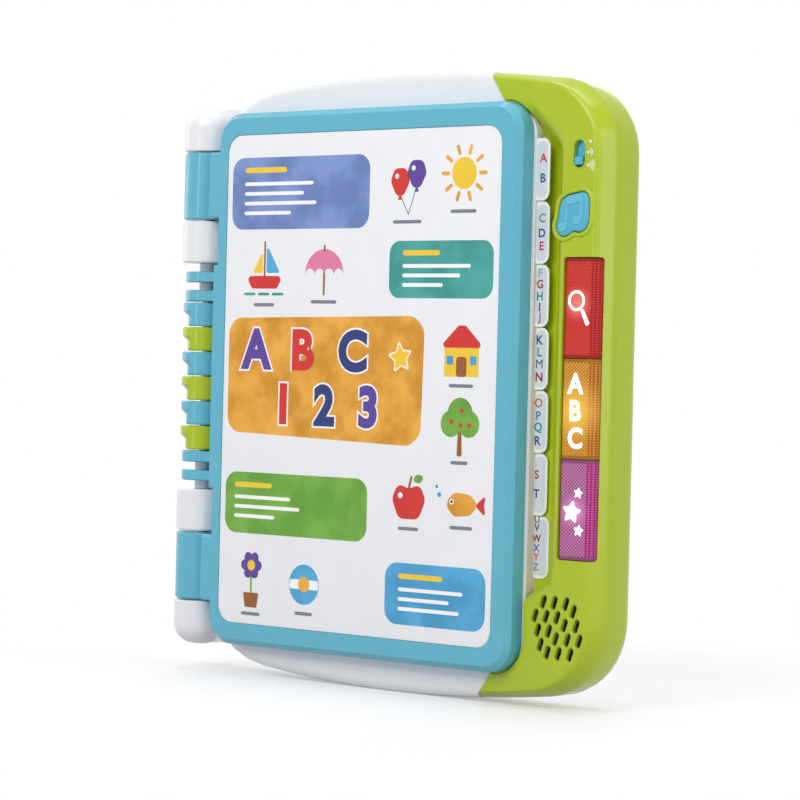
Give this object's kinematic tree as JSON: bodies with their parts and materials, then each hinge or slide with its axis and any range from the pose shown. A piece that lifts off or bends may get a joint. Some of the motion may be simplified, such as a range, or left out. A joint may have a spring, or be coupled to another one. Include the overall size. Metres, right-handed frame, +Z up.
{
  "type": "talking picture dictionary",
  "caption": "Stand-up electronic book toy with a hinged blue cover, index-tab leaves on a rod, and a lime control bar with light-up keys, a music key, a volume slide and sound slots",
  "frame": {"origin": "middle of the foot it stands on", "axes": "+X from the spine to the control bar, +Y from the cover to the back, +Z up along the spine"},
  "size_m": [0.2584, 0.036, 0.284],
  "materials": {
    "white_shell": "smooth gloss",
    "blue_shell": "smooth gloss",
    "lime_shell": "smooth gloss",
    "teal_control": "smooth gloss",
    "red_key": "clear tinted, finely knurled",
    "amber_key": "clear tinted, finely knurled",
    "pink_key": "clear tinted, finely knurled",
    "card": "printed, laminated",
    "print_panel": "printed, laminated",
    "film": "satin",
    "steel": "satin",
    "circuit": "lacquered",
    "black_part": "matte",
    "lamp": "clear",
    "basket_metal": "satin",
    "foam": "matte",
    "cell_jacket": "gloss",
    "red_lead": "matte",
    "black_lead": "matte"
  },
  "bodies": {
    "case": {"rear_shell": "white_shell", "deck": "white_shell", "spine_frame": "white_shell", "top_end_cap": "white_shell", "bottom_end_cap": "white_shell", "control_panel": "lime_shell", "hinge_rod": "steel", "rod_sleeves": "white_shell", "touch_membrane": "film", "base_sheet": "card", "main_board": "circuit", "sound_chip": "black_part", "light_board": "circuit", "key_lights": "lamp", "key_switches": "black_part", "volume_switch": "black_part", "page_sensor_board": "circuit", "speaker_basket": "basket_metal", "speaker_cone": "black_part", "speaker_magnet": "basket_metal", "speaker_gasket": "foam", "battery_cells": "cell_jacket", "battery_springs": "steel", "battery_plates": "steel", "case_screws": "steel", "board_screws": "steel", "speaker_leads": "red_lead", "battery_leads": "black_lead"},
    "cover": {"cover_shell": "blue_shell", "cover_label": "print_panel", "cover_liner": "white_shell"},
    "search_button": {"search_key": "red_key"},
    "letters_button": {"letters_key": "amber_key"},
    "games_button": {"games_key": "pink_key"},
    "music_button": {"music_key": "teal_control"},
    "volume_slider": {"volume_knob": "teal_control"},
    "battery_hatch": {"battery_door": "white_shell", "door_screw": "steel"},
    "page_1": {"leaf_1": "card", "binder_1": "blue_shell"},
    "page_2": {"leaf_2": "card", "binder_2": "lime_shell"},
    "page_3": {"leaf_3": "card", "binder_3": "blue_shell"},
    "page_4": {"leaf_4": "card", "binder_4": "lime_shell"},
    "page_5": {"leaf_5": "card", "binder_5": "blue_shell"},
    "page_6": {"leaf_6": "card", "binder_6": "lime_shell"}
  },
  "joints": [
    {"name": "cover_hinge", "type": "hinge", "parent": "case", "child": "cover", "pos_m": [-0.1164, -0.004, 0.14175], "axis": [0, 0, -1], "range_deg": [0, 180]},
    {"name": "page_1_turn", "type": "hinge", "parent": "case", "child": "page_1", "pos_m": [-0.1164, -0.004, 0.14175], "axis": [0, 0, -1], "range_deg": [0, 154.3]},
    {"name": "page_2_turn", "type": "hinge", "parent": "case", "child": "page_2", "pos_m": [-0.1164, -0.004, 0.14175], "axis": [0, 0, -1], "range_deg": [0, 128.6]},
    {"name": "page_3_turn", "type": "hinge", "parent": "case", "child": "page_3", "pos_m": [-0.1164, -0.004, 0.14175], "axis": [0, 0, -1], "range_deg": [0, 102.9]},
    {"name": "page_4_turn", "type": "hinge", "parent": "case", "child": "page_4", "pos_m": [-0.1164, -0.004, 0.14175], "axis": [0, 0, -1], "range_deg": [0, 77.2]},
    {"name": "page_5_turn", "type": "hinge", "parent": "case", "child": "page_5", "pos_m": [-0.1164, -0.004, 0.14175], "axis": [0, 0, -1], "range_deg": [0, 51.5]},
    {"name": "page_6_turn", "type": "hinge", "parent": "case", "child": "page_6", "pos_m": [-0.1164, -0.004, 0.14175], "axis": [0, 0, -1], "range_deg": [0, 25.8]},
    {"name": "search_press", "type": "slide", "parent": "case", "child": "search_button", "axis": [0, 1, 0], "range_m": [0, 0.0015], "stiffness_N_per_m": 400, "springref_m": -0.001},
    {"name": "letters_press", "type": "slide", "parent": "case", "child": "letters_button", "axis": [0, 1, 0], "range_m": [0, 0.0015], "stiffness_N_per_m": 400, "springref_m": -0.001},
    {"name": "games_press", "type": "slide", "parent": "case", "child": "games_button", "axis": [0, 1, 0], "range_m": [0, 0.0015], "stiffness_N_per_m": 400, "springref_m": -0.001},
    {"name": "music_press", "type": "slide", "parent": "case", "child": "music_button", "axis": [0, 1, 0], "range_m": [0, 0.0015], "stiffness_N_per_m": 400, "springref_m": -0.001},
    {"name": "volume_slide", "type": "slide", "parent": "case", "child": "volume_slider", "axis": [0, 0, 1], "range_m": [0, 0.006]},
    {"name": "hatch_lift", "type": "slide", "parent": "case", "child": "battery_hatch", "axis": [0, 1, 0], "range_m": [0, 0.02]}
  ],
  "couplings": [
    {"joint": "page_1_turn", "follows": "cover_hinge", "ratio": 0.8571},
    {"joint": "page_2_turn", "follows": "cover_hinge", "ratio": 0.7143},
    {"joint": "page_3_turn", "follows": "cover_hinge", "ratio": 0.5714},
    {"joint": "page_4_turn", "follows": "cover_hinge", "ratio": 0.4286},
    {"joint": "page_5_turn", "follows": "cover_hinge", "ratio": 0.2857},
    {"joint": "page_6_turn", "follows": "cover_hinge", "ratio": 0.1429}
  ]
}
